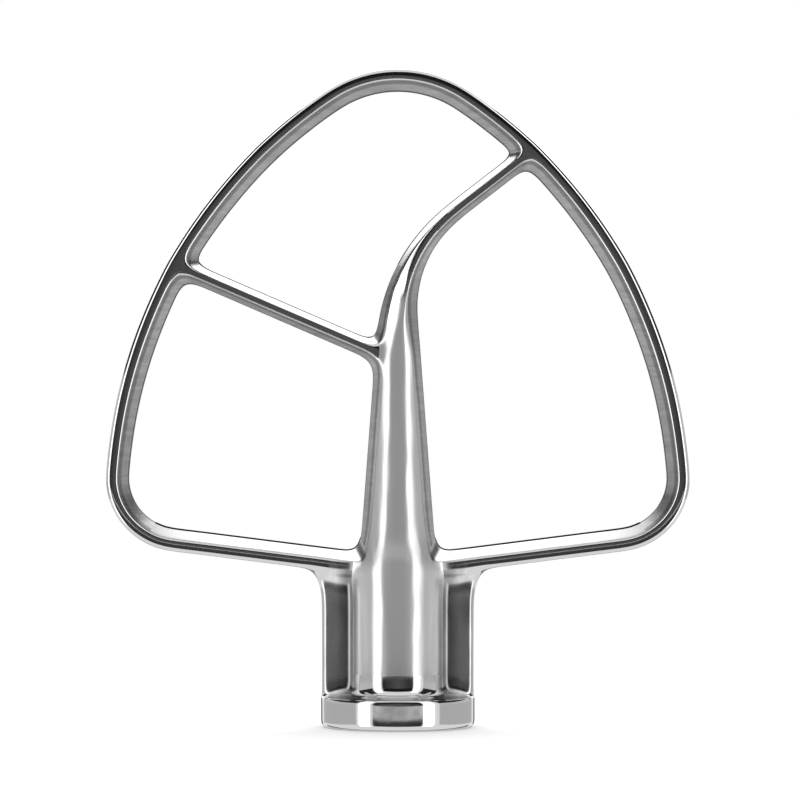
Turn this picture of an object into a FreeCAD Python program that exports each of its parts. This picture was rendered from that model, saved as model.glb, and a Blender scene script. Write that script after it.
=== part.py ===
# Flat beater for a kitchen stand mixer: one polished stainless steel casting.
# The beater stands on the end of its hub. X runs across the paddle, Y through its
# depth (the front faces -Y) and Z along the drive shaft, up from the end of the hub.
import FreeCAD, Part
import math
import os

from FreeCAD import Vector

# Paddle outline at the parting plane: three tangent arcs a side, then a sloping arm
OVERALL_HEIGHT = 151.9
OVERALL_WIDTH = 134.6
WIDEST_HEIGHT = 57.7
TOP_RADIUS = 29.5
SIDE_RADIUS = 115.3
CORNER_RADIUS = 17.1
ARM_SLOPE = 7.2

# Section of the rim and the bars: width at the parting plane and at the crest
FRAME_DEPTH = 10.0
RIM_WIDTH = 5.4
RIM_CREST_WIDTH = 2.7
RIM_ROUND = 1.2
BAR_WIDTH = 4.5
BAR_CREST_WIDTH = 1.5

# Left bar: height of its centre line on the stem's axis, and its climb to the rim
LEFT_BAR_HEIGHT = 84.3
LEFT_BAR_ANGLE = 23.4

# Branch: a straight bar to the rim, swept out of the stem with a bend on each side
BRANCH_HEIGHT = 109.0
BRANCH_ANGLE = 37.6
BRANCH_LEFT_BEND = 42.0
BRANCH_RIGHT_BEND = 25.0

# Stem: it tapers upward, and a round ridge stands proud of its faces
STEM_FOOT_WIDTH = 17.3
STEM_FOOT_HEIGHT = 43.4
STEM_TAPER = 4.3
RIDGE_FOOT_RADIUS = 8.5
RIDGE_WAIST_RADIUS = 7.1
RIDGE_WAIST_HEIGHT = 74.0
RIDGE_TIP_RADIUS = 4.7
RIDGE_TIP_HEIGHT = 103.0

# Rounded corners of the windows, at the parting plane
RIM_CORNER_ROUND = 2.4
ARM_CORNER_ROUND = 2.4
CROTCH_ROUND = 4.0

# Hub: a collar, a column with two thin fins, and a shoulder up to the stem
COLLAR_RADIUS = 17.7
COLLAR_HEIGHT = 7.0
COLLAR_BEVEL = 0.9
COLUMN_RADIUS = 11.0
COLUMN_TOP = 37.6
COLUMN_FOOT_ROUND = 3.0
FIN_HALF_SPAN = 17.5
FIN_THICKNESS = 5.0
FIN_ROUND = 1.4
FIN_COLUMN_BLEND = 2.0
FIN_SWEEP = 5.3

# Drive socket in the hub: a blind bore, a keyway for the cross pin and a quarter-turn pocket
BORE_RADIUS = 6.5
BORE_DEPTH = 38.0
BORE_MOUTH = 0.8
PIN_SLOT_WIDTH = 5.4
PIN_SLOT_REACH = 9.5
PIN_SLOT_TOP = 18.0
PIN_POCKET_HEIGHT = 5.6
PIN_POCKET_TURN = 75.0
PIN_NOTCH = 1.6

# Small overlaps: how far past the crest the drafted walls run, and the fins' grip in the arms
WINDOW_LIP = 1.12
FIN_SINK = 0.3

HALF_DEPTH = FRAME_DEPTH / 2.0
DEPTH_AXIS = Vector(0, -1, 0)
SHAFT_AXIS = Vector(0, 0, 1)


def at(x, z):
    """A point of the parting plane."""
    return Vector(x, 0, z)


def polar(centre, radius, angle):
    """The point at an angle from +X on a circle in the parting plane."""
    return centre + at(radius * math.cos(math.radians(angle)), radius * math.sin(math.radians(angle)))


def arc(centre, radius, start, end):
    """An arc of the parting plane between two angles from +X."""
    middle = polar(centre, radius, (start + end) / 2.0)
    return Part.Arc(polar(centre, radius, start), middle, polar(centre, radius, end)).toShape()


def polygon(points):
    """The straight edges of a closed outline."""
    return [Part.makeLine(p, q) for p, q in zip(points, points[1:] + points[:1])]


def rounded(face, corners):
    """A face with some of its corners rounded; each corner is a point and a radius."""
    prism = face.extrude(DEPTH_AXIS)
    for point, radius in corners:
        middle = point + DEPTH_AXIS * 0.5
        edge = min(prism.Edges, key=lambda e: e.CenterOfMass.distanceToPoint(middle))
        prism = prism.makeFillet(radius, [edge])
    return min(prism.Faces, key=lambda f: abs(f.CenterOfMass.y))


# Centres of the right-hand outline arcs, each tangent to the next
top_centre = at(0, OVERALL_HEIGHT - TOP_RADIUS)
corner_centre = at(OVERALL_WIDTH / 2.0 - CORNER_RADIUS, WIDEST_HEIGHT)
top_reach = Part.Circle(top_centre, DEPTH_AXIS, SIDE_RADIUS - TOP_RADIUS)
corner_reach = Part.Circle(corner_centre, DEPTH_AXIS, SIDE_RADIUS - CORNER_RADIUS)
crossings = [at(p.X, p.Z) for p in top_reach.intersectCC(corner_reach)]
side_centre = min(crossings, key=lambda p: p.x)


def direction(start, end):
    """The angle from +X of the way from one point to another."""
    return math.degrees(math.atan2(end.z - start.z, end.x - start.x))


def rim_outline(inset):
    """The paddle's outline moved inward, as a closed list of edges."""
    upper = direction(side_centre, top_centre)
    lower = direction(side_centre, corner_centre)
    arm = ARM_SLOPE - 90.0
    side_left = at(-side_centre.x, side_centre.z)
    corner_left = at(-corner_centre.x, corner_centre.z)
    arm_end = polar(corner_centre, CORNER_RADIUS - inset, arm)
    keel = at(0, arm_end.z - arm_end.x * math.tan(math.radians(ARM_SLOPE)))
    return [
        arc(top_centre, TOP_RADIUS - inset, 180.0 - upper, upper),
        arc(side_centre, SIDE_RADIUS - inset, upper, lower),
        arc(corner_centre, CORNER_RADIUS - inset, lower, arm),
        Part.makeLine(arm_end, keel),
        Part.makeLine(keel, at(-arm_end.x, arm_end.z)),
        arc(corner_left, CORNER_RADIUS - inset, 180.0 - arm, 180.0 - lower),
        arc(side_left, SIDE_RADIUS - inset, 180.0 - lower, 180.0 - upper),
    ]


def line_through(point, angle):
    """A long straight line of the parting plane, as a pair of points either side of a point."""
    reach = OVERALL_WIDTH + OVERALL_HEIGHT
    return polar(point, reach, angle + 180.0), polar(point, reach, angle)


def crossing(first, second):
    """The point where two straight lines of the parting plane cross."""
    point = Part.Line(*first).intersectCC(Part.Line(*second))[0]
    return at(point.X, point.Z)


def lattice(level):
    """The stem with its branch, and the left bar, as faces at a share of the frame's half depth."""
    narrowing = level * (BAR_WIDTH - BAR_CREST_WIDTH) / 2.0
    half_bar = BAR_WIDTH / 2.0 - narrowing
    half_stem = STEM_FOOT_WIDTH / 2.0 - narrowing
    rise = polar(at(0, 0), half_bar, BRANCH_ANGLE + 90.0)
    upper = line_through(at(0, BRANCH_HEIGHT) + rise, BRANCH_ANGLE)
    lower = line_through(at(0, BRANCH_HEIGHT) - rise, BRANCH_ANGLE)
    left = line_through(at(-half_stem, STEM_FOOT_HEIGHT), 90.0 - STEM_TAPER)
    right = line_through(at(half_stem, STEM_FOOT_HEIGHT), 90.0 + STEM_TAPER)
    left_bend = crossing(left, upper)
    right_bend = crossing(right, lower)
    outline = polygon([left[0], left_bend, upper[1], lower[1], right_bend, right[0]])
    bends = [(left_bend, BRANCH_LEFT_BEND - narrowing), (right_bend, BRANCH_RIGHT_BEND + narrowing)]
    stem = rounded(Part.Face(Part.Wire(outline)), bends)
    climb = polar(at(0, 0), half_bar, 90.0 - LEFT_BAR_ANGLE)
    root = at(0, LEFT_BAR_HEIGHT)
    tip = polar(root, OVERALL_WIDTH, 180.0 - LEFT_BAR_ANGLE)
    bar = Part.Face(Part.Wire(polygon([root - climb, root + climb, tip + climb, tip - climb])))
    return stem, bar


def window_outlines(level):
    """The outlines of the three windows at a share of the frame's half depth, left to right."""
    inset = RIM_WIDTH + level * (RIM_CREST_WIDTH - RIM_WIDTH)
    widening = level * (BAR_WIDTH - BAR_CREST_WIDTH) / 2.0
    opening = Part.Face(Part.Wire(rim_outline(inset)))
    stem, bar = lattice(level)
    windows = sorted(opening.cut([stem, bar]).Faces, key=lambda face: face.CenterOfMass.x)
    outlines = []
    for window in windows:
        corners = []
        for vertex in window.Vertexes:
            if is_sharp(window, vertex):
                corners.append((vertex.Point, corner_round(vertex, stem, bar) + widening))
        outlines.append(rounded(window, corners).OuterWire)
    return outlines


def is_sharp(face, vertex):
    """Whether the two edges that meet at a vertex of a face turn a corner there."""
    first, second = [e for e in face.Edges if e.distToShape(vertex)[0] < 1e-6]
    headings = [e.tangentAt(e.Curve.parameter(vertex.Point)) for e in (first, second)]
    return headings[0].cross(headings[1]).Length > 0.05


def corner_round(vertex, stem, bar):
    """The rounding of a window's corner, told by the two members that meet there."""
    if vertex.distToShape(stem)[0] < 1e-4 and vertex.distToShape(bar)[0] < 1e-4:
        return CROTCH_ROUND
    if vertex.Z < WIDEST_HEIGHT:
        return ARM_CORNER_ROUND
    return RIM_CORNER_ROUND


def window_tool(parting, crest):
    """The cutter of one window's front half: drafted walls, then straight past the ridge."""
    lip = crest.translated(DEPTH_AXIS * HALF_DEPTH * WINDOW_LIP)
    draft = Part.makeLoft([parting, lip], True, True)
    clear = Part.Face(lip).extrude(DEPTH_AXIS * COLLAR_RADIUS)
    return draft.fuse(clear)


def both_faces(shape):
    """A front cutter together with its mirror image for the back."""
    return [shape, shape.mirror(Vector(0, 0, 0), DEPTH_AXIS)]


def paddle():
    """The whole paddle as a plate of the frame's depth, its outer edges rounded."""
    edges = rim_outline(0.0)
    keel = edges[3].Vertexes[-1].Point
    face = rounded(Part.Face(Part.Wire(edges)), [(keel, COLUMN_RADIUS)])
    plate = face.translated(DEPTH_AXIS * -HALF_DEPTH).extrude(DEPTH_AXIS * FRAME_DEPTH)
    rims = [edge for edge in plate.Edges if abs(abs(edge.CenterOfMass.y) - HALF_DEPTH) < 1e-6]
    return plate.makeFillet(RIM_ROUND, rims)


def spindle():
    """Collar, column, shoulder and the stem's ridge, turned about the shaft."""
    collar = COLLAR_RADIUS
    column = COLUMN_RADIUS
    bevel = COLLAR_BEVEL
    cove = COLUMN_FOOT_ROUND
    ridge_foot = at(RIDGE_FOOT_RADIUS, STEM_FOOT_HEIGHT)
    ridge_tip = at(RIDGE_TIP_RADIUS, RIDGE_TIP_HEIGHT)
    column_top = at(column, COLUMN_TOP)
    ridge_waist = at(RIDGE_WAIST_RADIUS, RIDGE_WAIST_HEIGHT)
    shoulder = (column_top + ridge_foot) * 0.5
    outline = [
        Part.makeLine(at(0, 0), at(collar - bevel, 0)),
        Part.makeLine(at(collar - bevel, 0), at(collar, bevel)),
        Part.makeLine(at(collar, bevel), at(collar, COLLAR_HEIGHT - bevel)),
        Part.makeLine(at(collar, COLLAR_HEIGHT - bevel), at(collar - bevel, COLLAR_HEIGHT)),
        Part.makeLine(at(collar - bevel, COLLAR_HEIGHT), at(column + cove, COLLAR_HEIGHT)),
        arc(at(column + cove, COLLAR_HEIGHT + cove), cove, 270.0, 180.0),
        Part.makeLine(at(column, COLLAR_HEIGHT + cove), column_top),
        tangent_arc(column_top, SHAFT_AXIS, shoulder),
        tangent_arc(ridge_foot, ridge_waist - ridge_foot, shoulder),
        Part.makeLine(ridge_foot, ridge_waist),
        Part.makeLine(ridge_waist, ridge_tip),
        Part.makeLine(ridge_tip, at(0, RIDGE_TIP_HEIGHT)),
        Part.makeLine(at(0, RIDGE_TIP_HEIGHT), at(0, 0)),
    ]
    return Part.Face(Part.Wire(outline)).revolve(Vector(0, 0, 0), SHAFT_AXIS, 360.0)


def tangent_arc(start, heading, end):
    """An arc of the parting plane that leaves a point along a heading and ends at another."""
    chord = end - start
    normal = Vector(-heading.z, 0, heading.x).normalize()
    centre = start + normal * (chord.dot(chord) / (2.0 * chord.dot(normal)))
    radius = centre.distanceToPoint(start)
    bulge = ((start + end) * 0.5 - centre).normalize() * radius
    return Part.Arc(start, centre + bulge, end).toShape()


def fins():
    """The two hub fins with the column's core, swept out under the arms at the top."""
    tangent = math.tan(math.radians(ARM_SLOPE))
    arm_end = polar(corner_centre, CORNER_RADIUS - FIN_SINK, ARM_SLOPE - 90.0)
    base = COLLAR_HEIGHT / 2.0

    def underside(x):
        return arm_end.z - (arm_end.x - x) * tangent

    reach = FIN_HALF_SPAN + 2.0 * FIN_SWEEP
    right = [
        at(FIN_HALF_SPAN, base),
        at(FIN_HALF_SPAN, underside(FIN_HALF_SPAN)),
        at(reach, underside(reach)),
        at(reach, underside(reach) + RIM_WIDTH / 3.0),
    ]
    left = [at(-p.x, p.z) for p in reversed(right)]
    corners = [(right[1], FIN_SWEEP), (left[2], FIN_SWEEP)]
    face = rounded(Part.Face(Part.Wire(polygon(right + left))), corners)
    plate = face.translated(DEPTH_AXIS * -FIN_THICKNESS / 2.0).extrude(DEPTH_AXIS * FIN_THICKNESS)
    sides = [e for e in plate.Edges if is_fin_side(e)]
    plate = plate.makeFillet(FIN_ROUND, sides)
    core = Part.makeCylinder(COLUMN_RADIUS, COLUMN_TOP - base, Vector(0, 0, base))
    hub = plate.fuse(core)
    meeting = math.sqrt(COLUMN_RADIUS ** 2 - (FIN_THICKNESS / 2.0) ** 2)
    roots = [e for e in hub.Edges if is_upright(e) and abs(abs(e.CenterOfMass.x) - meeting) < 1e-3]
    return hub.makeFillet(FIN_COLUMN_BLEND, roots)


def is_upright(edge):
    """Whether an edge is a straight line along the shaft's direction."""
    box = edge.BoundBox
    return box.XLength < 1e-6 and box.YLength < 1e-6


def is_fin_side(edge):
    """Whether an edge of the fin plate is the front or back edge of one of its outer sides."""
    on_face = abs(abs(edge.CenterOfMass.y) - FIN_THICKNESS / 2.0) < 1e-6
    return on_face and is_upright(edge) and abs(abs(edge.CenterOfMass.x) - FIN_HALF_SPAN) < 1e-6


def socket():
    """The cutter for the drive socket: bore, keyway and the pocket that locks the pin."""
    below = Vector(0, 0, -1.0)
    bore = Part.makeCylinder(BORE_RADIUS, BORE_DEPTH + 1.0, below)
    mouth = Part.makeCone(BORE_RADIUS + BORE_MOUTH, BORE_RADIUS, BORE_MOUTH)
    ring = Part.makeCylinder(PIN_SLOT_REACH, PIN_SLOT_TOP + 1.0, below)
    side = -PIN_SLOT_WIDTH / 2.0
    slot = Part.makeBox(PIN_SLOT_REACH, PIN_SLOT_WIDTH, PIN_SLOT_TOP + 1.0, Vector(0, side, -1.0))
    floor = Vector(0, 0, PIN_SLOT_TOP - PIN_POCKET_HEIGHT)
    pocket = Part.makeCylinder(PIN_SLOT_REACH, PIN_POCKET_HEIGHT, floor, SHAFT_AXIS, PIN_POCKET_TURN)
    rest = Vector(0, side, floor.z - PIN_NOTCH)
    notch = Part.makeBox(PIN_SLOT_REACH, PIN_SLOT_WIDTH, PIN_POCKET_HEIGHT + PIN_NOTCH, rest)
    notch.rotate(Vector(0, 0, 0), SHAFT_AXIS, PIN_POCKET_TURN)
    return bore.fuse([mouth, slot.common(ring), pocket, notch.common(ring)])


beater = paddle().fuse([spindle(), fins()])
parting = window_outlines(0.0)
crest = window_outlines(WINDOW_LIP)
cutters = []
for low, high in zip(parting, crest):
    cutters += both_faces(window_tool(low, high))
beater = beater.cut(cutters + [socket()]).removeSplitter()
beater = beater.Solids[0]

os.makedirs("parts", exist_ok=True)
beater.exportStep("parts/flat_beater.step")
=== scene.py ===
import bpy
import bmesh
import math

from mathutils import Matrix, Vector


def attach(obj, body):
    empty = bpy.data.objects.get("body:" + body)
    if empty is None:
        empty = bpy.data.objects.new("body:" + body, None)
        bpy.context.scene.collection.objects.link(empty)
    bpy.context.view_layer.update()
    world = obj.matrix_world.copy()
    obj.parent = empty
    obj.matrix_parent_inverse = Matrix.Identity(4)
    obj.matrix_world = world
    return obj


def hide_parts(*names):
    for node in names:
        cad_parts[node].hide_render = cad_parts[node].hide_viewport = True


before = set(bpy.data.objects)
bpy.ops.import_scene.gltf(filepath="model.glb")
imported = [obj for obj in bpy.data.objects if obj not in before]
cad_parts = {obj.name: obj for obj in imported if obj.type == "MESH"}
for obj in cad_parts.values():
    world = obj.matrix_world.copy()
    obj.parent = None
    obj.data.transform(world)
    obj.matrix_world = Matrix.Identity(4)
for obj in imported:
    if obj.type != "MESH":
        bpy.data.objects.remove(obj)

# %% [markdown]
# # A flat beater for a stand mixer
# The imported CAD model is in the scene now. The beater is one steel casting, so we model one piece over it:
# a coarse cage of four-sided faces that the Subdivision modifier turns into smooth metal. We could also
# dress the CAD mesh itself, but most of its edges are sharp, and polished metal shows every edge.

MM = 0.001
bpy.context.view_layer.update()
bpy.ops.object.select_all(action="DESELECT")

# %% [markdown]
# ## One sheet at a time
# A pattern maker thinks of this casting as lanes: the outer side, the polished crest, the satin
# wall round each window. We do the same. A sheet starts as a row of points, and each Extrude
# carries the row to its next place, as you would press E and type the coordinates. A Boolean of
# tubes could give the form too, but rows of faces that follow the lanes keep the reflections
# smooth. Sheets whose edges lie on each other are merged later, and only a quarter of the rim
# and the hub is modelled, because Symmetrize makes the other three.

# %% An empty mesh with a slot for each finish
# The last finish is satin steel painted lighter, as lit from above.
POLISHED, SATIN, TURNED, BUFFED, PAINTED_LIT_WALL = 0, 1, 2, 3, 4
FINISHES = (
    "polished cast steel",
    "satin cast steel",
    "turned steel",
    "softly buffed steel",
    "satin steel painted lighter",
)


def new_material(name):
    """A material whose node tree is still empty."""
    material = bpy.data.materials.new(name)
    material.use_nodes = True
    material.node_tree.nodes.clear()
    return material


bpy.ops.mesh.primitive_plane_add(size=MM, location=(0, 0, 0))
casting = bpy.context.object
casting.name = "beater_casting"
for name in FINISHES:
    casting.data.materials.append(new_material(name))
bpy.ops.object.mode_set(mode="EDIT")
bpy.ops.mesh.delete(type="VERT")
print(casting.name, "starts empty, with", len(casting.data.materials), "finishes")


# %% A helper that extrudes a row of points into a sheet
def cage():
    """The casting's mesh while it is being edited."""
    return bmesh.from_edit_mesh(casting.data)


def sheet(rows, finish=POLISHED):
    """Extrudes the first row of points, in mm, through all the other rows."""
    bpy.ops.mesh.select_all(action="DESELECT")
    mesh = cage()
    row = [mesh.verts.new(Vector(p) * MM) for p in rows[0]]
    for start, end in zip(row, row[1:]):
        mesh.edges.new((start, end)).select_set(True)
    bmesh.update_edit_mesh(casting.data)
    for before, after in zip(rows, rows[1:]):
        bpy.ops.mesh.extrude_edges_move()
        ends = [Vector(p) * MM for p in before]
        for vertex in [v for v in cage().verts if v.select]:
            nearest = min(range(len(ends)), key=lambda i: (ends[i] - vertex.co).length)
            vertex.co = Vector(after[nearest]) * MM
            for face in vertex.link_faces:
                face.material_index = finish
        bmesh.update_edit_mesh(casting.data)


print("the cage has", len(cage().verts), "points before the first sheet")

# %% [markdown]
# ## The rim
# The outline is three tangent arcs a side, then a straight arm that slopes to the hub. Its section has an
# upright outer side, a rounded outer corner, a narrow flat crest and a window wall that leans out to the
# parting line in the middle of the depth. A section could be swept along a curve, but its rounding changes
# on the way, so we place each row one by one. A subdivided curve cuts inside its control points, so an arc's
# points stand a little out.

# %% Places along the outline, by how far inside it a point lies
# Each arc has a centre (x, z), a radius and the angle from one row to the next.
TOP_ARC = ((0.0, 122.4), 29.5, 8.5)
SIDE_ARC = ((-47.78, 51.135), 115.3, 4.0)
CORNER_ARC = ((50.2, 57.7), 17.1, 11.0)
ARM_SLOPE = 7.2
HAIR = 0.03


def turn(centre, radius, degrees):
    """The point (x, z) at an angle from +X on a circle seen from the front."""
    angle = math.radians(degrees)
    return centre[0] + radius * math.cos(angle), centre[1] + radius * math.sin(angle)


def bow(arc, degrees):
    """A place on an arc of the outline, kept a hair inside the CAD."""
    centre, radius, step = arc
    swell = 3.0 / (2.0 + math.cos(math.radians(step)))
    return lambda inset: turn(centre, (radius - inset) * swell - HAIR, degrees)


def arm(x):
    """A place on the arm, by the x of its underside."""
    slope = math.radians(ARM_SLOPE)
    foot = turn(CORNER_ARC[0], CORNER_ARC[1], ARM_SLOPE - 90.0)
    z = foot[1] - (foot[0] - x) * math.tan(slope)
    return lambda inset: (x - inset * math.sin(slope), z + inset * math.cos(slope))


def point(place, inset, y):
    """A point of the rim's section at a place."""
    x, z = place(inset)
    return x, y, z


print("tip of the outline in mm", [round(v, 2) for v in bow(TOP_ARC, 90.0)(0.0)])

# %% The rim's outer side and crest
CREST, PARTING, DEPTH = 2.7, 5.4, 5.0
BAR_JOINT, BRANCH_JOINT = (28.86, 29.63), (45.74, 46.51)
CORNER_START, SIDE_START, TOP_START, TOP_END = ARM_SLOPE - 90.0, 3.83, 56.16, 90.0

arm_places = [arm(x) for x in (22.2, 27.0, 33.5, 41.0, 47.0)]
corner_step = (SIDE_START - CORNER_START) / 8
corner_places = [bow(CORNER_ARC, CORNER_START + corner_step * k) for k in range(8)]
side_angles = [SIDE_START, 9.3, 14.8, 20.3, 25.6, *BAR_JOINT]
side_angles += [33.0, 37.6, 42.4, *BRANCH_JOINT, 49.5, 52.8]
side_places = [bow(SIDE_ARC, a) for a in side_angles]
top_step = (TOP_END - TOP_START) / 4
top_places = [bow(TOP_ARC, TOP_START + top_step * k) for k in range(5)]
rim_places = arm_places + corner_places + side_places + top_places

# The outer corner is rounded from here to the crest, a little less along the arm.
rounding = [3.4] * 5 + [3.3, 3.2, 3.1, 3.0]
rounding += [2.9] * (len(rim_places) - len(rounding))
rim = []
for place, y in zip(rim_places, rounding):
    section = ((0.0, 0.0), (0.0, -y), (0.0, -DEPTH), (CREST, -DEPTH))
    rim.append([point(place, *spot) for spot in section])
sheet(rim)
print("rim sheet", len(cage().faces), "faces")

# %% [markdown]
# ## The hub
# A fin stands out on either side of the round column, and its outer edge sweeps out under the
# arm. Cylinders and blocks could be joined here, but the casting flows from one to the other.
# So one row of points goes from the fin's tip, over its face, into the hollow beside the column
# and round to the front, and it is carried up from the collar to the arm.

# %% Column and fins
FIN, FIN_FACE, COLUMN = 17.5, 2.5, 11.0
LANES = (40.0, 65.0, 90.0)
LANE_SWELL = 1.032
COLLAR_TOP = 7.0


def round_lanes(radius, heights):
    """The column's lanes at their angles, each at its own height."""
    flat = [turn((0, 0), radius * LANE_SWELL, a) for a in LANES]
    return [(x, -y, z) for (x, y), z in zip(flat, heights)]


def hub_row(z):
    """The hub's section at a height: fin edge, fin face, hollow, column."""
    fin = [(FIN, -FIN_FACE, z), (15.0, -FIN_FACE, z), (12.7, -FIN_FACE, z), (10.2, -2.75, z)]
    return fin + round_lanes(COLUMN, (z, z, z))


under_fin = [(18.12, -2.55, 33.6), (15.2, -2.6, 32.6), (12.9, -2.65, 32.4), (10.4, -2.85, 32.3)]
under_arm = [(19.84, -2.8, 36.05), (15.7, -3.2, 35.0), (13.1, -3.3, 34.8), (10.6, -3.35, 34.6)]
hub_rows = [hub_row(z) for z in (COLLAR_TOP, 12.0, 19.0, 25.0, 30.0)]
hub_rows.append(under_fin + round_lanes(COLUMN, (33.0, 33.0, 33.0)))
hub_rows.append(under_arm + round_lanes(COLUMN, (34.6, 34.4, 34.4)))
sheet([row[:4] for row in hub_rows], BUFFED)
sheet([row[3:] for row in hub_rows[:2]])
sheet([row[3:] for row in hub_rows[1:]], TURNED)

tip_rows = [[(row[0][0], 0.0, row[0][2]), row[0]] for row in hub_rows]
tip_rows.append(rim[0][:2])
sheet(tip_rows)
print("with column and fins", len(cage().faces), "faces")

# %% [markdown]
# ## The collar
# The hub ends in a round collar with a flat end face. A cylinder would do for its shape, but
# its top has to grow out of column and fins. We carry the hub's lowest row out to the collar's
# edge, down its side and in to the middle of the end face, with a point for each lane.

# %% Collar and end face
COLLAR, COLLAR_MIDDLE, END_RING = 17.8, 3.5, 10.0
COLLAR_ANGLES = (0.0, 8.13, 20.0, 33.0, 46.0, 60.0, 75.0, 90.0)


def collar_row(radius, z):
    """A ring of the collar, a point for each lane of the hub."""
    return [(x, -y, z) for x, y in (turn((0, 0), radius, a) for a in COLLAR_ANGLES)]


collar = [tip_rows[0][:1] + hub_rows[0]]
collar += [collar_row(COLLAR, z) for z in (COLLAR_TOP, COLLAR_MIDDLE, 0.0)]
collar += [collar_row(radius, 0.0) for radius in (END_RING, 0.0)]
sheet(collar)
print("with the collar", len(cage().faces), "faces")

# %% [markdown]
# ## Where the arm meets the column
# The arm's front runs in to the column and turns forward there with a soft root, where metal
# was left in the mould so that the joint does not crack. We carry the arm's section inwards and
# let its last row lie on the column, rather than blend two shapes later with a bevel.

# %% Arm front, root and shoulder
front_rows = [rim[0][1:]]
for start, x, y in zip(under_arm, (19.84, 15.8, 13.0), (5.0, 5.1, 5.45)):
    front_rows.append([start, point(arm(x), 0.0, -y), point(arm(x), CREST, -y)])
root = [(10.3, -6.1, 35.5), (10.2, -6.15, 38.25)]
front_rows.append([under_arm[3]] + root)
sheet(front_rows[:3])
# The arm's root takes the buffed finish, whose painted shade near the column dims the light line at the
# crest's end.
sheet(front_rows[2:], BUFFED)

window_corner = (7.7, -7.6, 38.25)
shoulder = round_lanes(COLUMN, (38.25, 38.5, 38.6))
column_rows = [hub_rows[-1][3:], [root[0]] + round_lanes(COLUMN, (36.0, 36.2, 36.2))]
column_rows.append([root[1], window_corner] + shoulder[1:])
sheet(column_rows, TURNED)
print("with the arm's root", len(cage().faces), "faces")

# %% [markdown]
# ## The stem
# Above the shoulder the column narrows into the stem, whose round ridge sinks as it climbs. A
# tapered cylinder has the wrong side walls, because the stem is part of the flat lattice too.
# So each row runs from the crest edge, on the ridge's circle, to the middle of the ridge.

# %% Stem and ridge
STEM_FOOT, STEM_WAIST, STEM_TOP = 43.4, 74.0, 103.0
STEM_HALF, STEM_TAPER, STEM_WALL = 8.65, 0.07519, 1.95
RIDGE_FOOT, RIDGE_WAIST, RIDGE_TOP = 8.5, 7.1, 4.7
RIDGE_SWELL, SIDE_LANE = 1.03, 0.52


def stem_half(z):
    """Half the stem's width at the parting line."""
    return STEM_HALF - STEM_TAPER * (z - STEM_FOOT)


def ridge(z):
    """The ridge's radius at a height."""
    if z < STEM_WAIST:
        share = (z - STEM_FOOT) / (STEM_WAIST - STEM_FOOT)
        return RIDGE_FOOT + (RIDGE_WAIST - RIDGE_FOOT) * share
    share = (z - STEM_WAIST) / (STEM_TOP - STEM_WAIST)
    return RIDGE_WAIST + (RIDGE_TOP - RIDGE_WAIST) * share


def stem_row(z_crest, z_middle):
    """The stem's front from its crest edge to the middle of the ridge."""
    radius = ridge(z_middle)
    swell = radius * RIDGE_SWELL
    edge = stem_half(z_crest) - STEM_WALL
    inner = SIDE_LANE * edge
    reach = math.sqrt(max(radius ** 2 - edge ** 2, DEPTH ** 2))
    return [
        (edge, -reach, z_crest),
        (inner, -math.sqrt(swell ** 2 - inner ** 2), (z_crest + z_middle) / 2.0),
        (0.0, -swell, z_middle),
    ]


stem_rows = [[window_corner] + shoulder[1:]]
stem_rows.append([(7.25, -6.9, 40.4)] + round_lanes(9.8, (0, 40.8, 41.0))[1:])
stem_rows.append([(6.85, -5.65, 43.4)] + round_lanes(8.55, (0, 43.6, 43.8))[1:])
levels = [(50.0, 50.2), (57.0, 57.2), (64.0, 64.2), (71.0, 71.2), (78.0, 78.0)]
levels += [(85.2, 84.9), (86.8, 87.2)]
stem_rows += [stem_row(*z) for z in levels]
sheet(stem_rows, TURNED)
print("with the stem", len(cage().faces), "faces")

# %% [markdown]
# ## The window wall
# The wall of a window is one long strip: along the rim, round the corner of the arm and up the side of the
# stem. It leans, because a casting needs draft to leave its mould. A row has only two points, on the crest
# and on the parting line. The stretch on the arm faces up to the light, so it gets a material of its own
# whose grey is painted lighter, as lit from above.

# %% Window wall
BAR_FOOT, BAR_HEAD = 84.3, 89.0
# The rows between which the wall lies on the arm.
ARM_WALL_START, ARM_WALL_END = 24, 37
parting_angles = dict(zip(BAR_JOINT + BRANCH_JOINT, (28.21, 30.57, 45.15, 47.53)))

wall = []
for place in reversed(top_places):
    wall.append([point(place, CREST, -DEPTH), point(place, PARTING, 0.0)])
for angle, place in reversed(list(zip(side_angles, side_places))):
    low = bow(SIDE_ARC, parting_angles.get(angle, angle))
    wall.append([point(place, CREST, -DEPTH), point(low, PARTING, 0.0)])
for place in reversed(arm_places + corner_places):
    wall.append([point(place, CREST, -DEPTH), point(place, PARTING, 0.0)])
for row, x in zip(front_rows[1:], (20.1, 16.1, 13.3)):
    wall.append([row[2], point(arm(x), PARTING, 0.0)])
wall.append([root[1], (11.5, 0.0, 41.1)])
wall.append([window_corner, (9.7, 0.0, 41.5)])
feet = [44.0, 47.2, 52.4, 58.8, 65.4, 72.0, 78.2, BAR_FOOT, BAR_HEAD]
for row, z in zip(stem_rows[1:], feet):
    wall.append([row[0], (stem_half(z), 0.0, z)])
sheet(wall[:ARM_WALL_START + 1], SATIN)
sheet(wall[ARM_WALL_START:ARM_WALL_END + 1], PAINTED_LIT_WALL)
sheet(wall[ARM_WALL_END:], SATIN)
for k in (ARM_WALL_START, ARM_WALL_END):
    print("wall row", k, "of", len(wall), "starts at", [round(v, 1) for v in wall[k][0]])
print("the quarter has", len(cage().faces), "faces")

# %% [markdown]
# ## Mirror the quarter
# The rim and the hub are alike on the left and on the right. A Mirror modifier would do, but
# the bar and the branch are not alike, so we want plain faces to join them to. Symmetrize
# copies the right half to the left, and we then open the walls where bar and branch will join.


# %% Right to left, with openings for the bar and the branch
def merge():
    """Joins the sheets where their points lie on each other."""
    bpy.ops.mesh.select_all(action="SELECT")
    bpy.ops.mesh.remove_doubles(threshold=0.02 * MM)


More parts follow.
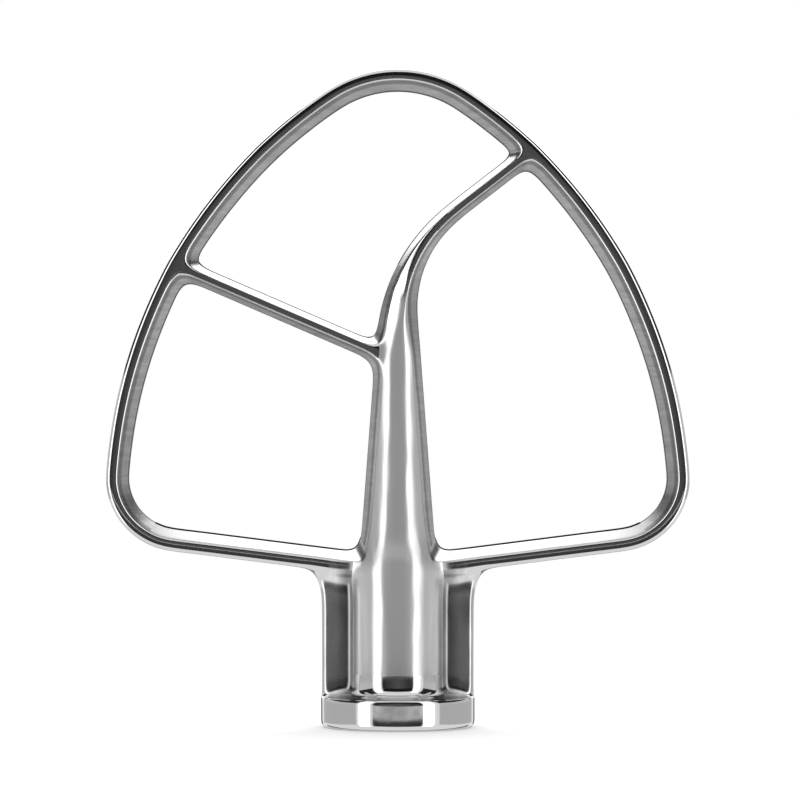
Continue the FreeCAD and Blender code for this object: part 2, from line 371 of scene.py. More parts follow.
def open_wall(x, z):
    """Deletes the window wall's face nearest to a point."""
    bpy.ops.mesh.select_all(action="DESELECT")
    goal = Vector((x, -DEPTH / 2.0, z)) * MM
    walls = [f for f in cage().faces if f.material_index == SATIN]
    min(walls, key=lambda f: (f.calc_center_median() - goal).length).select_set(True)
    bmesh.update_edit_mesh(casting.data)
    bpy.ops.mesh.delete(type="FACE")


merge()
bpy.ops.mesh.symmetrize(direction="POSITIVE_X", threshold=0.01 * MM)
# The bar joins the stem and the left rim, and the branch joins the right rim.
open_wall(-4.7, 86.3)
open_wall(-49.4, 105.6)
open_wall(29.2, 131.9)
print("front half", len(cage().faces), "faces, with three openings")

# %% [markdown]
# ## The slanted bar
# A straight bar joins the stem to the rim on the left. It has the rim's section: a flat crest
# and a leaning wall on either side. Bridge Edge Loops could join the two openings, but we want
# the crest to stand level along the bar, so we spread rows between them and set their depth.

# %% Bar from the stem to the rim
# The crests of bar and branch stand a tenth of a millimetre proud of the rim's.
PROUD = 5.1


def left(p):
    """A point's twin on the left."""
    return -p[0], p[1], p[2]


def rim_mouth(joint):
    """The edge of an opening in the right rim's wall: parting, crest, crest, parting."""
    crest = [point(bow(SIDE_ARC, a), CREST, -DEPTH) for a in joint]
    parting = [point(bow(SIDE_ARC, parting_angles[a]), PARTING, 0.0) for a in joint]
    return [parting[1], crest[1], crest[0], parting[0]]


def between(first, last, shares):
    """Rows spread between a first and a last one."""
    return [[tuple(Vector(a).lerp(Vector(b), t)) for a, b in zip(first, last)] for t in shares]


def level_crest(rows):
    """Sets the crest of some rows to one depth."""
    for row in rows:
        row[1:3] = [(x, -PROUD, z) for x, y, z in row[1:3]]


low, high = stem_rows[-2], stem_rows[-1]
foot = (stem_half(BAR_FOOT), 0.0, BAR_FOOT)
head = (stem_half(BAR_HEAD), 0.0, BAR_HEAD)
stem_mouth = [left(p) for p in (head, high[0], low[0], foot)]
bar_end = [left(p) for p in rim_mouth(BAR_JOINT)]
bar_rows = between(stem_mouth, bar_end, (0.0, 0.13, 0.27, 0.42, 0.58, 0.73, 0.87, 1.0))
level_crest(bar_rows[1:-1])
sheet([row[1:3] for row in bar_rows])
# The bar's upper wall takes the finish painted lighter, as lit from above.
sheet([row[0:2] for row in bar_rows], PAINTED_LIT_WALL)
sheet([row[2:4] for row in bar_rows], SATIN)
print("bar", len(bar_rows), "rows,", round((Vector(stem_mouth[1]) - Vector(bar_end[1])).length, 1), "mm")

# %% [markdown]
# ## The branch
# The top of the stem bends to the right and becomes a bar that runs up to the rim. Its two
# edges bend about different centres, so it gets narrower on the way. We could bend a straight
# bar with a modifier, but then both edges would share one centre. Along the bend the left of
# the crest leans away and the right stays nearly level: two lanes with a soft line between.

# %% Rows of the branch
OUTER_BEND, INNER_BEND = (36.76, 87.14), (29.66, 97.44)
OUTER_PARTING, OUTER_CREST, INNER_PARTING = 42.0, 40.5, 25.0


def branch_row(outer, inner, inner_crest=26.5):
    """The branch's section by the angles of its two bends: parting, crest, crest, parting."""
    spots = [turn(OUTER_BEND, radius, outer) for radius in (OUTER_PARTING, OUTER_CREST)]
    spots += [turn(INNER_BEND, radius, inner) for radius in (inner_crest, INNER_PARTING)]
    return [(x, y, z) for (x, z), y in zip(spots, (0.0, -PROUD, -PROUD, 0.0))]


bend_start = [turn(OUTER_BEND, radius, 169.0) for radius in (OUTER_PARTING, OUTER_CREST)]
first = [(x, y, z) for (x, z), y in zip(bend_start, (0.0, -4.1))]
first += [(2.1, -5.2, 94.0), (stem_half(95.0), 0.0, 95.0)]
bends = ((160.5, 176.0, 27.7), (152.0, 164.0, 27.2), (143.5, 152.0, 26.8), (135.0, 140.0, 26.6))
branch = [first] + [branch_row(*bend) for bend in bends]
branch.append(branch_row(127.6, 127.6))

LINE_SHARES = (0.92, 0.76, 0.5, 0.35)
LEFT_DROPS = (1.55, 0.98, 0.5, 0.28)
LINE_DEPTH, RIGHT_DEPTH = PROUD + 0.1, PROUD - 0.15
crest_line = []
for row, share, drop in zip(branch[1:5], LINE_SHARES, LEFT_DROPS):
    x, y, z = Vector(row[1]).lerp(Vector(row[2]), share)
    crest_line.append((x, -LINE_DEPTH, z))
    row[1] = (row[1][0], drop - LINE_DEPTH, row[1][2])
    row[2] = (row[2][0], -RIGHT_DEPTH, row[2][2])
branch_end = rim_mouth(BRANCH_JOINT)
straight = between(branch[-1], branch_end, (0.25, 0.5, 0.77))
level_crest(straight)
branch += straight + [branch_end]
print("branch", len(branch), "rows, up to", [round(v, 1) for v in branch_end[1]])

# %% Walls and crest of the branch
sheet([[left(head), left(high[0])]] + [row[0:2] for row in branch[:3]], SATIN)
# The branch's upper wall takes the finish painted lighter, as lit from above.
sheet([row[0:2] for row in branch[2:]], PAINTED_LIT_WALL)
sheet([[high[0], head]] + [row[2:4] for row in branch], SATIN)
leaning = [[row[1], spot] for row, spot in zip(branch[1:5], crest_line)]
upright = [[spot, row[2]] for row, spot in zip(branch[1:5], crest_line)]
for lane in (leaning, upright):
    sheet(lane[:2], TURNED)
sheet(leaning[1:] + [[branch[5][1], branch[5][1]]])
sheet(upright[1:] + [row[1:3] for row in branch[5:]])
print("with the branch", len(cage().faces), "faces")

# %% [markdown]
# ## The end of the ridge
# The stem's ridge runs out in a long point, where the polished crest of the branch begins. We
# close the gap between the last row of the stem and the first of the branch with a few faces
# whose middle lies forward, so that the ridge tapers on the cage already. A plain fill would
# be flat there, and the bright lines along the ridge would break off.

# %% Close the ridge, then mirror front to back
ridge_end = [(-0.6, -5.45, 94.5), (0.6, -5.95, 94.4), (1.4, -5.9, 94.2)]
crown = [left(high[0]), left(high[1]), high[2], high[1], high[0]]
sheet([crown, [first[1]] + ridge_end + [first[2]]], TURNED)
sheet([[first[1], ridge_end[0]], leaning[0]], TURNED)
sheet([[ridge_end[2], first[2]], upright[0]], TURNED)
sheet([ridge_end[0:2], [crest_line[0], ridge_end[2]]], TURNED)
merge()
bpy.ops.mesh.symmetrize(direction="NEGATIVE_Y", threshold=0.01 * MM)
merge()
bpy.ops.mesh.select_all(action="SELECT")
bpy.ops.mesh.normals_make_consistent(inside=False)
mesh = cage()
print("cage", len(mesh.faces), "faces; open edges", sum(not e.is_manifold for e in mesh.edges))
print("faces by corners", {n: sum(len(f.verts) == n for f in mesh.faces) for n in (3, 4, 5, 6)})

# %% [markdown]
# ## Crisp edges and a smooth skin
# The edge between the polished crest and a window wall is crisp on the real casting, with a
# rounding of a third of a millimetre. A bevel would give it, at the cost of many thin faces. A
# crease below 1 keeps an edge sharp for the first subdivisions only, and so leaves just such a
# rounding. The parting line gets a crease too, a little stronger on the bright walls.

# %% Creases
bpy.ops.mesh.select_mode(type="EDGE")


def crease(value, wanted):
    """Creases the edges that a test picks."""
    bpy.ops.mesh.select_all(action="DESELECT")
    for edge in cage().edges:
        edge.select_set(wanted(edge))
    bmesh.update_edit_mesh(casting.data)
    bpy.ops.transform.edge_crease(value=value)
    print("crease", value, "on", sum(e.select for e in cage().edges), "edges")


def finishes(edge):
    """The finishes of the faces beside an edge."""
    return {face.material_index for face in edge.link_faces}


def beside_wall(edge):
    """Whether an edge lies between a window wall and something else."""
    return len(finishes(edge)) == 2 and len(finishes(edge) & {SATIN, PAINTED_LIT_WALL}) == 1


def on_parting_line(edge, finish):
    """Whether an edge is on the parting line, between walls of one finish."""
    return finishes(edge) == {finish} and all(abs(v.co.y) < 0.001 * MM for v in edge.verts)


def on_ring(edge, z):
    """Whether an edge runs round the collar at a height."""
    ends = [v.co / MM for v in edge.verts]
    return all(abs(p.z - z) < 0.01 and abs(p.xy.length - COLLAR) < 0.01 for p in ends)


crease(0.45, beside_wall)
crease(0.55, lambda e: on_parting_line(e, PAINTED_LIT_WALL))
crease(0.45, lambda e: on_parting_line(e, SATIN))
crease(0.5, lambda e: on_ring(e, COLLAR_TOP))
crease(0.3, lambda e: on_ring(e, 0.0))
bpy.ops.object.mode_set(mode="OBJECT")


# %% The Subdivision modifier
def modify(obj, kind, **settings):
    """Adds a modifier with its settings and applies it."""
    modifier = obj.modifiers.new(kind.title(), kind)
    for name, value in settings.items():
        setattr(modifier, name, value)
    bpy.ops.object.modifier_apply(modifier=modifier.name)


modify(casting, "SUBSURF", levels=3, render_levels=3)
bpy.ops.object.shade_smooth()
print("smooth skin", len(casting.data.polygons), "faces")

# %% [markdown]
# ## The drive socket
# The mixer's shaft goes into a blind bore in the hub, its cross pin up a keyway and then round
# into a pocket. These edges could be part of the cage, but a machinist cuts them after casting,
# so we cut them after the skin is smooth: a cutter for each, taken away with a Boolean.

# %% Bore and mouth
BORE, BORE_END, SIDES = 6.5, 38.0, 96
MOUTH, MOUTH_END, MOUTH_DEPTH = 7.5, 6.3, 1.0


def cut(cutter):
    """Takes a cutter away from the casting."""
    bpy.context.view_layer.objects.active = casting
    modify(casting, "BOOLEAN", object=cutter, operation="DIFFERENCE", solver="EXACT")
    bpy.data.objects.remove(cutter)


# Each cutter starts below the end face, so that no face of it lies on the casting.
below = 2.0
bore_middle = (0, 0, (BORE_END - below) / 2.0 * MM)
bore_length = (BORE_END + below) * MM
bpy.ops.mesh.primitive_cylinder_add(
    vertices=SIDES, radius=BORE * MM, depth=bore_length, location=bore_middle)
cut(bpy.context.object)
below = 0.2
mouth_middle = (0, 0, (MOUTH_DEPTH - below) / 2.0 * MM)
mouth_length = (MOUTH_DEPTH + below) * MM
bpy.ops.mesh.primitive_cone_add(
    vertices=SIDES,
    radius1=MOUTH * MM,
    radius2=MOUTH_END * MM,
    depth=mouth_length,
    location=mouth_middle,
)
cut(bpy.context.object)
print("with the bore", len(casting.data.polygons), "faces")

# %% [markdown]
# ## Keyway and pocket
# The cross pin slides up the keyway, turns and drops into a notch, so the beater can't fall
# off. The keyway and the notch are blocks. The pocket between them is a rectangle that Spin
# carries round the shaft, which leaves clean end faces where a curved cutter by hand would not.

# %% Keyway, pocket and notch
KEY_HALF, KEY_REACH, KEY_TOP = 2.7, 9.3, 18.0
POCKET_WIDTH, POCKET_HEIGHT, POCKET_MIDDLE = 7.5, 5.6, (5.75, 15.2)
NOTCH_FOOT, PIN_TURN = 10.8, 75.0


def block(low, high, turned=0.0):
    """A box between two corners in mm, turned about the shaft."""
    centre = (Vector(low) + Vector(high)) / 2.0
    bpy.ops.mesh.primitive_cube_add(size=1.0)
    box = bpy.context.object
    box.scale = (Vector(high) - Vector(low)) * MM
    box.rotation_euler.z = math.radians(turned)
    centre.rotate(box.rotation_euler)
    box.location = centre * MM
    return box


cut(block((0.0, -KEY_HALF, -1.0), (KEY_REACH, KEY_HALF, KEY_TOP)))
bpy.ops.mesh.primitive_plane_add(size=1.0, rotation=(math.radians(90), 0, 0))
pocket = bpy.context.object
pocket.dimensions = (POCKET_WIDTH * MM, POCKET_HEIGHT * MM, 0)
pocket.location = (POCKET_MIDDLE[0] * MM, 0, POCKET_MIDDLE[1] * MM)
bpy.ops.object.transform_apply(location=True, rotation=True, scale=True)
bpy.ops.object.mode_set(mode="EDIT")
bpy.ops.mesh.select_all(action="SELECT")
bpy.ops.mesh.spin(steps=20, angle=math.radians(PIN_TURN), center=(0, 0, 0), axis=(0, 0, 1))
bpy.ops.mesh.select_all(action="SELECT")
bpy.ops.mesh.normals_make_consistent(inside=False)
bpy.ops.object.mode_set(mode="OBJECT")
print("pocket", len(pocket.data.polygons), "faces", [round(v / MM, 2) for v in pocket.dimensions])
cut(pocket)
cut(block((0.0, -KEY_HALF, NOTCH_FOOT), (KEY_REACH, KEY_HALF, KEY_TOP), PIN_TURN))

# %% [markdown]
# ## The casting is whole
# The skin is smooth, but the socket has machined edges. Shading everything smooth would smear light over
# them, so edges sharper than 32 degrees stay crisp. The last lines hide the CAD part that the piece stands
# for and say which body it moves with.

# %% Shade the casting and attach it
bpy.ops.object.select_all(action="DESELECT")
casting.select_set(True)
bpy.context.view_layer.objects.active = casting
bpy.ops.object.shade_smooth_by_angle(angle=math.radians(32))
print("with the socket", len(casting.data.polygons), "faces")
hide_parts("flat_beater")
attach(casting, "root")

# %% [markdown]
# ## Five finishes of one steel
# The whole beater is cast stainless steel, and only the work on its surface differs: polished crests, satin
# window walls, a column with marks from turning, hollows that the wheel hardly reached and walls above the
# arms and bars. So every finish is a metal, and they differ in roughness, in grey and in the direction of
# their marks. Part of the grey is painted light: painted shade in the hollows by the column and under the
# crests, a painted highlight on the crest edges, painted dark lines along the parting line and walls above
# the arms painted lighter, as lit from above. Colours are given as they look on a screen and are turned to
# the linear values that shaders use. Object coordinates count in metres, so a pattern's size in millimetres
# is turned into a scale.


# %% Helpers for colours, sizes and nodes
def paint(code):
    """A colour from its sRGB hex code, in the linear values that shaders use."""
    parts = [int(code[i:i + 2], 16) / 255 for i in (1, 3, 5)]
    linear = [p / 12.92 if p <= 0.04045 else ((p + 0.055) / 1.055) ** 2.4 for p in parts]
    return (*linear, 1.0)


def per_metre(*marks_per_mm):
    """The scale along X, Y and Z of a pattern with so many marks to a millimetre."""
    return tuple(n / MM for n in marks_per_mm)


def node(material, kind, inputs, **settings):
    """Adds a node with its settings; an input is a plain value or the socket that feeds it."""
    tree = material.node_tree
    made = tree.nodes.new("ShaderNode" + kind)
    for name, value in settings.items():
        setattr(made, name, value)
    for name, value in inputs.items():
        if isinstance(value, bpy.types.NodeSocket):
            tree.links.new(value, made.inputs[name])
        else:
            made.inputs[name].default_value = value
    return made


print("mid grey in linear values", [round(v, 3) for v in paint("#808080")])

# %% [markdown]
# ## Polished cast steel
# Crests, the outer side and the collar are ground and then polished on a cloth wheel. That
# gives a mirror with a thin haze: dark where the room is dark, with crisp light lines. One
# roughness all over would look like plating, so the haze drifts in patches.

# %% Polished cast steel
# The eye sees a clear mirror that is a little softer in patches of about 2 mm.
polished = casting.data.materials[POLISHED]
where = node(polished, "TexCoord", {})
spread = node(
    polished, "VectorMath", {0: where.outputs["Object"], 1: per_metre(0.5, 0.5, 0.5)}, operation="MULTIPLY")
haze = node(polished, "TexNoise", {"Vector": spread.outputs[0], "Scale": 1.0, "Detail": 3.0})
haze_range = {"From Min": 0.3, "From Max": 0.7, "To Min": 0.07, "To Max": 0.11}
smudge = node(polished, "MapRange", {"Value": haze.outputs["Fac"], **haze_range})
look = {"Base Color": paint("#D2D2D2"), "Metallic": 1.0, "Roughness": smudge.outputs[0]}
shader = node(polished, "BsdfPrincipled", look)
node(polished, "OutputMaterial", {"Surface": shader.outputs[0]})
print(polished.name, len(polished.node_tree.nodes), "nodes")

# %% [markdown]
# ## Turned steel
# Column and ridge are dressed with an abrasive that runs round them. The marks are far finer
# than a tenth of a millimetre and lie across the axis, so they smear each reflection along it
# and leave tall soft strips of light. Drawn lines would only flicker at this size. We use an
# anisotropic shader whose tangent runs round Z, and a shallow wave for the hand's uneven work.

# %% Turned steel
# The eye sees tall strips of light with slightly wavy edges. The real marks are too fine to
# show and are left to the anisotropy. The wave is about 3 mm wide and 17 mm tall, and it is
# drawn deeper than it is, so that it shows.
turned = casting.data.materials[TURNED]
where = node(turned, "TexCoord", {})
spread = node(
    turned, "VectorMath", {0: where.outputs["Object"], 1: per_metre(0.35, 0.35, 0.06)}, operation="MULTIPLY")
wave = node(turned, "TexNoise", {"Vector": spread.outputs[0], "Scale": 1.0, "Detail": 1.0})
ripple = node(turned, "Bump", {"Height": wave.outputs["Fac"], "Strength": 0.35, "Distance": 0.0004})
around = node(turned, "Tangent", {}, direction_type="RADIAL", axis="Z")

# Towards the tip of the ridge the marks run out into the polish, along a slanting line.
split = node(turned, "SeparateXYZ", {"Vector": where.outputs["Object"]})
slant = node(
    turned, "Math", {0: split.outputs["X"], 1: -1.5, 2: split.outputs["Z"]}, operation="MULTIPLY_ADD")
run_out = {"From Min": 95.5 * MM, "From Max": 98.5 * MM, "To Min": 0.4, "To Max": 0.14}
fading = node(turned, "MapRange", {"Value": slant.outputs[0], **run_out})
look = {"Base Color": paint("#EEEEEE"), "Metallic": 1.0, "Roughness": fading.outputs[0]}
look.update({"Anisotropic": 1.0, "Anisotropic Rotation": 0.25})
look.update({"Tangent": around.outputs[0], "Normal": ripple.outputs[0]})
shader = node(turned, "BsdfPrincipled", look)
node(turned, "OutputMaterial", {"Surface": shader.outputs[0]})
print(turned.name, len(turned.node_tree.nodes), "nodes")

# %% [markdown]
# ## Softly buffed steel
# A wheel hardly reaches the fins' faces and the inner ends of the arms. The metal there is only softly
# buffed and cloudy. Its grey is painted shade: darker close to the column, in the hollow beside it, and
# brighter further out. A painted map would need a UV layout. Noise and a ramp over the distance from the
# axis need none.

# %% Softly buffed steel
# The eye sees dim, cloudy metal. The clouds are about 3 mm wide and 10 mm tall, because the
# buff was drawn along the fin.
buffed = casting.data.materials[BUFFED]
where = node(buffed, "TexCoord", {})
split = node(buffed, "SeparateXYZ", {"Vector": where.outputs["Object"]})
reach = node(buffed, "Math", {0: split.outputs["X"]}, operation="ABSOLUTE")
hollow = {"From Min": 11.8 * MM, "From Max": 14.2 * MM}
share = node(buffed, "MapRange", {"Value": reach.outputs[0], **hollow})
# Painted shade: the grey is darker in the hollow close to the column and lighter further out.
hollow_shade = node(buffed, "ValToRGB", {"Fac": share.outputs[0]})
hollow_shade.color_ramp.elements[0].color = paint("#909090")
hollow_shade.color_ramp.elements[1].color = paint("#D0D0D0")

spread = node(
    buffed, "VectorMath", {0: where.outputs["Object"], 1: per_metre(0.3, 0.3, 0.1)}, operation="MULTIPLY")
cloud = node(buffed, "TexNoise", {"Vector": spread.outputs[0], "Scale": 1.0, "Detail": 3.0})
cloud_range = {"Value": cloud.outputs["Fac"], "From Min": 0.3, "From Max": 0.7}
cloudy = node(buffed, "MapRange", {**cloud_range, "To Min": 0.16, "To Max": 0.26})
streak = node(buffed, "MapRange", {**cloud_range, "To Min": 0.72, "To Max": 1.2})
tone = node(
    buffed, "VectorMath", {0: hollow_shade.outputs["Color"], 1: streak.outputs[0]}, operation="MULTIPLY")
look = {"Base Color": tone.outputs[0], "Metallic": 1.0, "Roughness": cloudy.outputs[0]}
shader = node(buffed, "BsdfPrincipled", look)
node(buffed, "OutputMaterial", {"Surface": shader.outputs[0]})
print(buffed.name, len(buffed.node_tree.nodes), "nodes")

# %% [markdown]
# ## Satin cast steel
# The window walls keep the skin of the casting, rubbed once with grit along the wall. Their grey is painted
# in bands: dark in the seam of the parting line, a line that also stands for the dark room mirrored in the
# edge; light on the wall; painted shade under the crest; and a painted highlight on the crest's edge. A ramp
# over the depth gives these bands all round each window, with no need to follow the outline.

# %% Satin cast steel
# The eye sees soft grey with a grain and a dark line in the seam. Real grit marks are about
# 0.05 mm and would not show, so the grain is drawn coarser: about 1 mm tall and 8 mm long.
# The bands go by their share of the depth, from the parting line to the crest.
# Shares and greys of the bands: the dark seam line, partly the seam and partly a painted reflection of the
# dark room; the light wall; from 0.74 painted shade under the crest.
WALL_BANDS_WITH_PAINTED_LIGHT = (
    (0.14, "#404040"),
    (0.19, "#ACACAC"),
    (0.62, "#B0B0B0"),
    (0.74, "#868686"),
    (0.9, "#868686"),
)
satin = casting.data.materials[SATIN]
where = node(satin, "TexCoord", {})
split = node(satin, "SeparateXYZ", {"Vector": where.outputs["Object"]})
depth = node(satin, "Math", {0: split.outputs["Y"]}, operation="ABSOLUTE")
share = node(satin, "MapRange", {"Value": depth.outputs[0], "From Max": DEPTH * MM})
bands_with_painted_light = node(satin, "ValToRGB", {"Fac": share.outputs[0]})
stops = bands_with_painted_light.color_ramp.elements
for place, code in WALL_BANDS_WITH_PAINTED_LIGHT:
    stops.new(place).color = paint(code)
# The dark line starts at the parting line. The light grey at the crest's edge is a painted highlight.
stops[0].color = paint("#404040")
stops[-1].color = paint("#C4C4C4")

spread = node(
    satin, "VectorMath", {0: where.outputs["Object"], 1: per_metre(0.12, 0.12, 1.1)}, operation="MULTIPLY")
grain = node(satin, "TexNoise", {"Vector": spread.outputs[0], "Scale": 1.0, "Detail": 3.0})
grain_range = {"From Min": 0.3, "From Max": 0.7, "To Min": 0.84, "To Max": 1.12}
speck = node(satin, "MapRange", {"Value": grain.outputs["Fac"], **grain_range})
tone = node(
    satin, "VectorMath", {0: bands_with_painted_light.outputs["Color"], 1: speck.outputs[0]}, operation="MULTIPLY")
scratch = node(satin, "Bump", {"Height": grain.outputs["Fac"], "Strength": 0.12, "Distance": 0.00005})
look = {"Base Color": tone.outputs[0], "Metallic": 1.0, "Roughness": 0.42}
look["Normal"] = scratch.outputs[0]
shader = node(satin, "BsdfPrincipled", look)
node(satin, "OutputMaterial", {"Surface": shader.outputs[0]})
print(satin.name, len(satin.node_tree.nodes), "nodes")

# %% [markdown]
# ## Satin steel painted lighter on top
# The walls on top of the arms, the bar and the branch face up to the light, so their grey is painted lighter
# than the window walls', and they are rubbed smoother. A dark line is painted along the parting line, where
# the edge would mirror the dark room. It is no metal, so it must not mirror, or the line would turn white
# where we look along the wall. So the Metallic value falls to 0 there. Further than 44 mm from the axis the
# lighter grey fades darker, into the plain satin.

# %% Bright satin steel
# The eye sees a white wall, its grey painted lighter as lit from above, with a thin painted dark outline,
# 0.8 mm either side of the parting line.
DARK_LINE_EDGE, METAL_EDGE = 0.16, 0.2
painted_lit_wall = casting.data.materials[PAINTED_LIT_WALL]
where = node(painted_lit_wall, "TexCoord", {})
split = node(painted_lit_wall, "SeparateXYZ", {"Vector": where.outputs["Object"]})
depth = node(painted_lit_wall, "Math", {0: split.outputs["Y"]}, operation="ABSOLUTE")
share = node(painted_lit_wall, "MapRange", {"Value": depth.outputs[0], "From Max": DEPTH * MM})
bands_with_painted_light = node(painted_lit_wall, "ValToRGB", {"Fac": share.outputs[0]})
stops = bands_with_painted_light.color_ramp.elements
# Painted reflection: the dark line along the parting line stands for the dark room mirrored in the edge, and
# it is no metal. Beyond it the grey is painted lighter, as lit from above.
stops.new(DARK_LINE_EDGE).color = paint("#1C1C1C")
stops.new(METAL_EDGE).color = paint("#C8C8C8")
stops[0].color = paint("#1C1C1C")
stops[-1].color = paint("#C8C8C8")
seam = {"From Min": DARK_LINE_EDGE, "From Max": METAL_EDGE}
metallic_beside_line = node(painted_lit_wall, "MapRange", {"Value": share.outputs[0], **seam})

# Painted light fades: further than 44 mm from the axis the lighter grey darkens to the satin's, and the
# roughness rises to it.
out = node(painted_lit_wall, "Math", {0: split.outputs["X"]}, operation="ABSOLUTE")
to_corner = {"Value": out.outputs[0], "From Min": 44.0 * MM, "From Max": 56.5 * MM}
fade_to_satin_grey = node(painted_lit_wall, "MapRange", {**to_corner, "To Min": 1.0, "To Max": 0.66})
rough = node(painted_lit_wall, "MapRange", {**to_corner, "To Min": 0.3, "To Max": 0.42})
tone = node(
    painted_lit_wall, "VectorMath", {0: bands_with_painted_light.outputs["Color"], 1: fade_to_satin_grey.outputs[0]}, operation="MULTIPLY")
look = {"Base Color": tone.outputs[0], "Metallic": metallic_beside_line.outputs[0]}
look.update({"Roughness": rough.outputs[0], "Specular IOR Level": 0.0})
shader = node(painted_lit_wall, "BsdfPrincipled", look)
node(painted_lit_wall, "OutputMaterial", {"Surface": shader.outputs[0]})
print(painted_lit_wall.name, len(painted_lit_wall.node_tree.nodes), "nodes")

# %% [markdown]
# ## Floor and room
# The beater stands on a sheet of white paper in a plain white room. The paper catches a faint
# shadow close to the hub, and further out it glows, so that floor and room become one white. A
# curved backdrop would do that too, but a glow works from every side. The metal does not
# mirror the floor, because the cloths below give it the darker table of a studio.

# %% White paper and white room
bpy.ops.mesh.primitive_plane_add(size=8.0, location=(0, 0, 0))
floor = bpy.context.object
floor.name = "floor"
floor.visible_glossy = False

# Matt paper scatters all light and shows no shine. Its glow starts 0.12 m from the shaft's
# axis and is full at 0.6 m.
paper = new_material("white paper")
look = {"Base Color": paint("#F3F3F3"), "Roughness": 0.9, "Specular IOR Level": 0.0}
shader = node(paper, "BsdfPrincipled", look)
where = node(paper, "TexCoord", {})
far = node(paper, "VectorMath", {0: where.outputs["Object"]}, operation="LENGTH")
around_hub = {"Value": far.outputs["Value"], "From Min": 0.12, "From Max": 0.6}
fade_out = node(paper, "MapRange", around_hub, interpolation_type="SMOOTHSTEP")
glow = node(paper, "Emission", {"Strength": 1.0})
blend = node(paper, "MixShader", {0: fade_out.outputs[0], 1: shader.outputs[0], 2: glow.outputs[0]})
node(paper, "OutputMaterial", {"Surface": blend.outputs[0]})
floor.data.materials.append(paper)

world = bpy.data.worlds.new("white room")
bpy.context.scene.world = world
world.use_nodes = True
world.node_tree.nodes["Background"].inputs["Color"].default_value = paint("#FFFFFF")
world.node_tree.nodes["Background"].inputs["Strength"].default_value = 1.0
print("floor", [round(v, 2) for v in floor.dimensions], "in", world.name)

# %% [markdown]
# ## Soft boxes
# A photographer lights polished metal with large soft boxes and looks at their reflections,
# not at the light on the metal. Two tall strips in front give the bright lines on column,
# collar and ridge. A large box above and behind makes the walls on top of arms and bars white.
# Lamps could be placed by power, but we give a brightness, because that is what metal mirrors.


# %% Two strips and a top box
def softbox(name, place, aim, width, height, brightness):
    """An area light of an even brightness, turned to a point."""
    lamp = bpy.data.lights.new(name, "AREA")
    lamp.shape = "RECTANGLE"
    lamp.size, lamp.size_y = width, height
    lamp.energy = brightness * math.pi * width * height
    obj = bpy.data.objects.new(name, lamp)
    bpy.context.scene.collection.objects.link(obj)
    obj.location = place
    obj.rotation_euler = (Vector(aim) - Vector(place)).to_track_quat("-Z", "Y").to_euler()
    print(name, round(lamp.energy, 2), "W")


STRIP_AIM, STRIP_WIDTH, STRIP_HEIGHT, STRIP_BRIGHTNESS = (0, 0, 0.3), 0.31, 1.6, 1.22
strips = {"left strip": (-0.745, -0.59, 0.3), "right strip": (0.69, -0.65, 0.3)}
for name, place in strips.items():
    softbox(name, place, STRIP_AIM, STRIP_WIDTH, STRIP_HEIGHT, STRIP_BRIGHTNESS)
softbox("top box", (0, 0.95, 0.95), (0, 0, 0.08), 1.6, 1.4, 1.5)

# %% [markdown]
# ## Cloths
# Polished metal shows nothing but its room, and in an all-white room it would vanish. So dark
# cloths stand where a studio is dark: in front, where the camera is, high at the sides and low
# at the back. A light table edge between two of them lights the middle of the collar, and grey
# side walls keep the window walls grey. Painted shading would stay in place when the view
# turns, so we use cloths. Only reflections see them: they throw no shadow, and the camera
# looks through them.


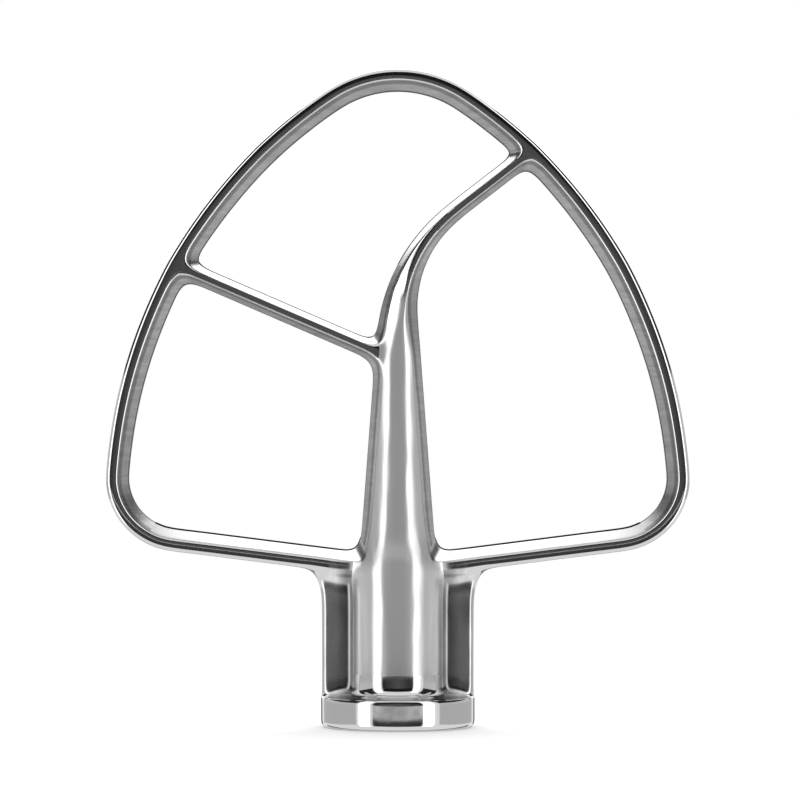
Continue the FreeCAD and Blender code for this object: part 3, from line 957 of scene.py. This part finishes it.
# %% Cloths that only the metal sees
def cloth(name, place, width, height, turned, middle, edge):
    """An upright cloth that gives back one share of the light in its middle, another at its edges."""
    bpy.ops.mesh.primitive_plane_add(size=1.0, location=place)
    card = bpy.context.object
    card.name = name
    card.rotation_euler = (math.radians(90), 0, math.radians(turned))
    card.scale = (width, height, 1)
    card.visible_camera = False
    card.visible_diffuse = False
    card.visible_shadow = False
    felt = new_material(name)
    where = node(felt, "TexCoord", {})
    split = node(felt, "SeparateXYZ", {"Vector": where.outputs["Object"]})
    away = node(felt, "Math", {0: split.outputs["X"]}, operation="ABSOLUTE")
    shares = {"From Max": 0.5, "To Min": middle, "To Max": edge}
    ramp = node(felt, "MapRange", {"Value": away.outputs[0], **shares})
    look = {"Base Color": ramp.outputs[0], "Roughness": 1.0, "Specular IOR Level": 0.0}
    shader = node(felt, "BsdfPrincipled", look)
    node(felt, "OutputMaterial", {"Surface": shader.outputs[0]})
    card.data.materials.append(felt)
    print(name, "gives back", middle, "to", edge)


FRONT, FRONT_WIDTH = -0.75, 1.18
SIDE_MIDDLE, SIDE_WIDTH = 0.55, 2.1
cloth("front cloth", (0, FRONT, 0.1315), FRONT_WIDTH, 0.337, 0.0, 0.085, 0.01)
cloth("upper front cloth", (0, FRONT, 0.525), FRONT_WIDTH, 0.45, 0.0, 0.01, 0.01)
cloth("table edge", (0, FRONT, -0.05), FRONT_WIDTH, 0.024, 0.0, 0.55, 0.95)
cloth("low front cloth", (0, FRONT, -0.231), FRONT_WIDTH, 0.338, 0.0, 0.06, 0.03)
for side in (-1, 1):
    cloth("side cloth", (side * 1.05, SIDE_MIDDLE, 0.94), SIDE_WIDTH, 1.2, 90.0, 0.02, 0.02)
    cloth("side wall", (side * 1.06, SIDE_MIDDLE, 0.04), SIDE_WIDTH, 0.6, 90.0, 0.58, 0.58)
cloth("low back cloth", (0, 1.5, -0.14), 1.3, 0.3, 0.0, 0.15, 0.15)
cloth("under back cloth", (0, 1.0, -0.72), 1.6, 0.6, 0.0, 0.2, 0.2)

# %% [markdown]
# ## Camera
# The picture is taken from straight in front, at half the beater's height, with a long lens
# about a metre away. A shorter lens closer by would show more of the walls inside the windows.
# The Standard view transform keeps white paper white.

# %% A long lens in front
camera = bpy.data.objects.new("camera", bpy.data.cameras.new("camera"))
bpy.context.scene.collection.objects.link(camera)
camera.location = (0.0005, -1.064, 0.0755)
camera.rotation_euler = (math.radians(90), 0, 0)
camera.data.lens = 207.2
camera.data.clip_start = 0.05
bpy.context.scene.camera = camera
bpy.context.scene.view_settings.view_transform = "Standard"
print("camera", round(camera.data.lens, 1), "mm lens,", round(-camera.location.y, 3), "m away")
